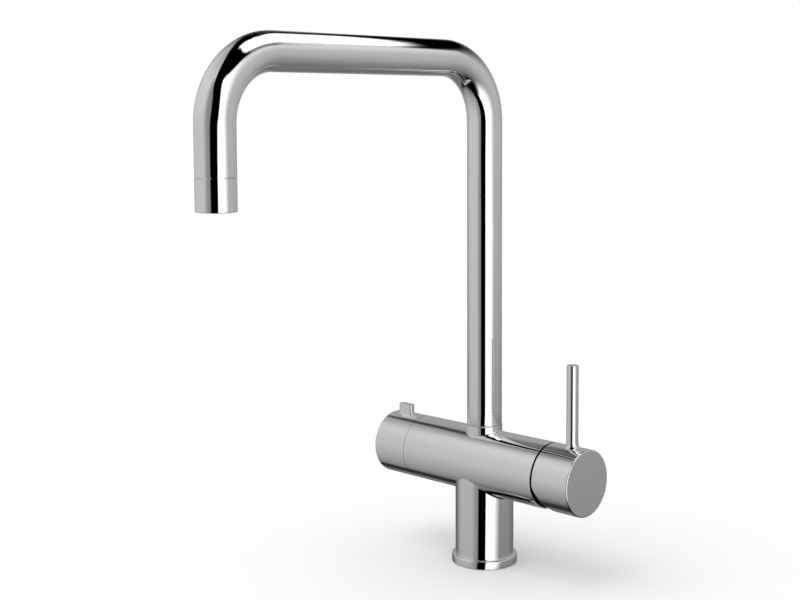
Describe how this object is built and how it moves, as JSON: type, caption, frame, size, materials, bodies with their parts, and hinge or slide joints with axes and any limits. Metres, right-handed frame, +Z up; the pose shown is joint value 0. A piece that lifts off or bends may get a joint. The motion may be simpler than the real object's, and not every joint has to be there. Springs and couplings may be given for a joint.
{
  "type": "three way filtered water tap",
  "caption": "Deck-mounted kitchen tap with square swivel spout, crosswise barrel body, mixer lever knob at one end and filtered water knob at the other, all chromed.",
  "frame": {"origin": "on the column's axis, at the plane of the worktop that the base ring stands on", "axes": "+Z up along the column and riser, -Y from the riser towards the outlet over the sink, +X along the barrel towards the mixer knob"},
  "size_m": [0.181, 0.2758, 0.3741],
  "materials": {
    "polished_chrome": "polished chrome plate",
    "bare_brass": "machined",
    "stainless_steel": "turned",
    "black_rubber": "moulded",
    "grey_plastic": "moulded",
    "white_plastic": "moulded",
    "white_ceramic": "lapped",
    "dark_ceramic": "lapped"
  },
  "bodies": {
    "tap_body": {"body_casting": "polished_chrome", "base_ring": "polished_chrome", "base_gasket": "black_rubber", "inlet_block": "bare_brass", "inlet_block_seals": "black_rubber", "inlet_block_screws": "stainless_steel", "cartridge_base": "grey_plastic", "cartridge_seals": "black_rubber", "cartridge_fixed_disc": "white_ceramic", "cartridge_housing": "grey_plastic", "cartridge_nut": "bare_brass", "dome_shroud": "polished_chrome", "headwork_body": "bare_brass", "headwork_washer": "black_rubber", "headwork_seat_seal": "black_rubber", "headwork_fixed_disc": "white_ceramic", "swivel_stop_screw": "stainless_steel", "glide_ring": "white_plastic"},
    "spout": {"spout_tube": "polished_chrome", "spout_spigot": "bare_brass", "spigot_rings": "black_rubber", "filtered_water_tube": "white_plastic", "outlet_socket": "bare_brass", "aerator_housing": "polished_chrome", "aerator_washer": "black_rubber", "aerator_insert": "white_plastic"},
    "cartridge_rotor": {"cartridge_rotor": "grey_plastic", "rotor_ring": "black_rubber", "pivot_pin": "stainless_steel"},
    "mixer_lever": {"mixer_knob": "polished_chrome", "cartridge_stem": "bare_brass", "lever_pin": "polished_chrome", "mixer_grub_screw": "stainless_steel"},
    "mixer_disc": {"disc_carrier": "grey_plastic", "cartridge_moving_disc": "dark_ceramic"},
    "filter_knob": {"filter_knob": "polished_chrome", "filter_tab": "polished_chrome", "filter_grub_screw": "stainless_steel", "headwork_spindle": "bare_brass", "headwork_moving_disc": "dark_ceramic", "spindle_ring": "black_rubber", "spindle_clip": "stainless_steel"}
  },
  "joints": [
    {"name": "spout_swivel", "type": "hinge", "parent": "tap_body", "child": "spout", "pos_m": [0, 0, 0.09], "axis": [0, 0, 1], "range_deg": [-75, 75]},
    {"name": "lever_turn", "type": "hinge", "parent": "tap_body", "child": "cartridge_rotor", "pos_m": [0.0587, 0, 0.0736], "axis": [1, 0, 0], "range_deg": [-45, 45]},
    {"name": "lever_tilt", "type": "hinge", "parent": "cartridge_rotor", "child": "mixer_lever", "pos_m": [0.0587, 0, 0.0736], "axis": [0, 1, 0], "range_deg": [0, 22]},
    {"name": "disc_slide", "type": "slide", "parent": "cartridge_rotor", "child": "mixer_disc", "axis": [0, 0, 1], "range_m": [0, 0.0052]},
    {"name": "filter_turn", "type": "hinge", "parent": "tap_body", "child": "filter_knob", "pos_m": [-0.07, 0, 0.0736], "axis": [1, 0, 0], "range_deg": [0, 90]}
  ],
  "couplings": [
    {"joint": "disc_slide", "follows": "lever_tilt", "m_per_rad": 0.013171}
  ]
}
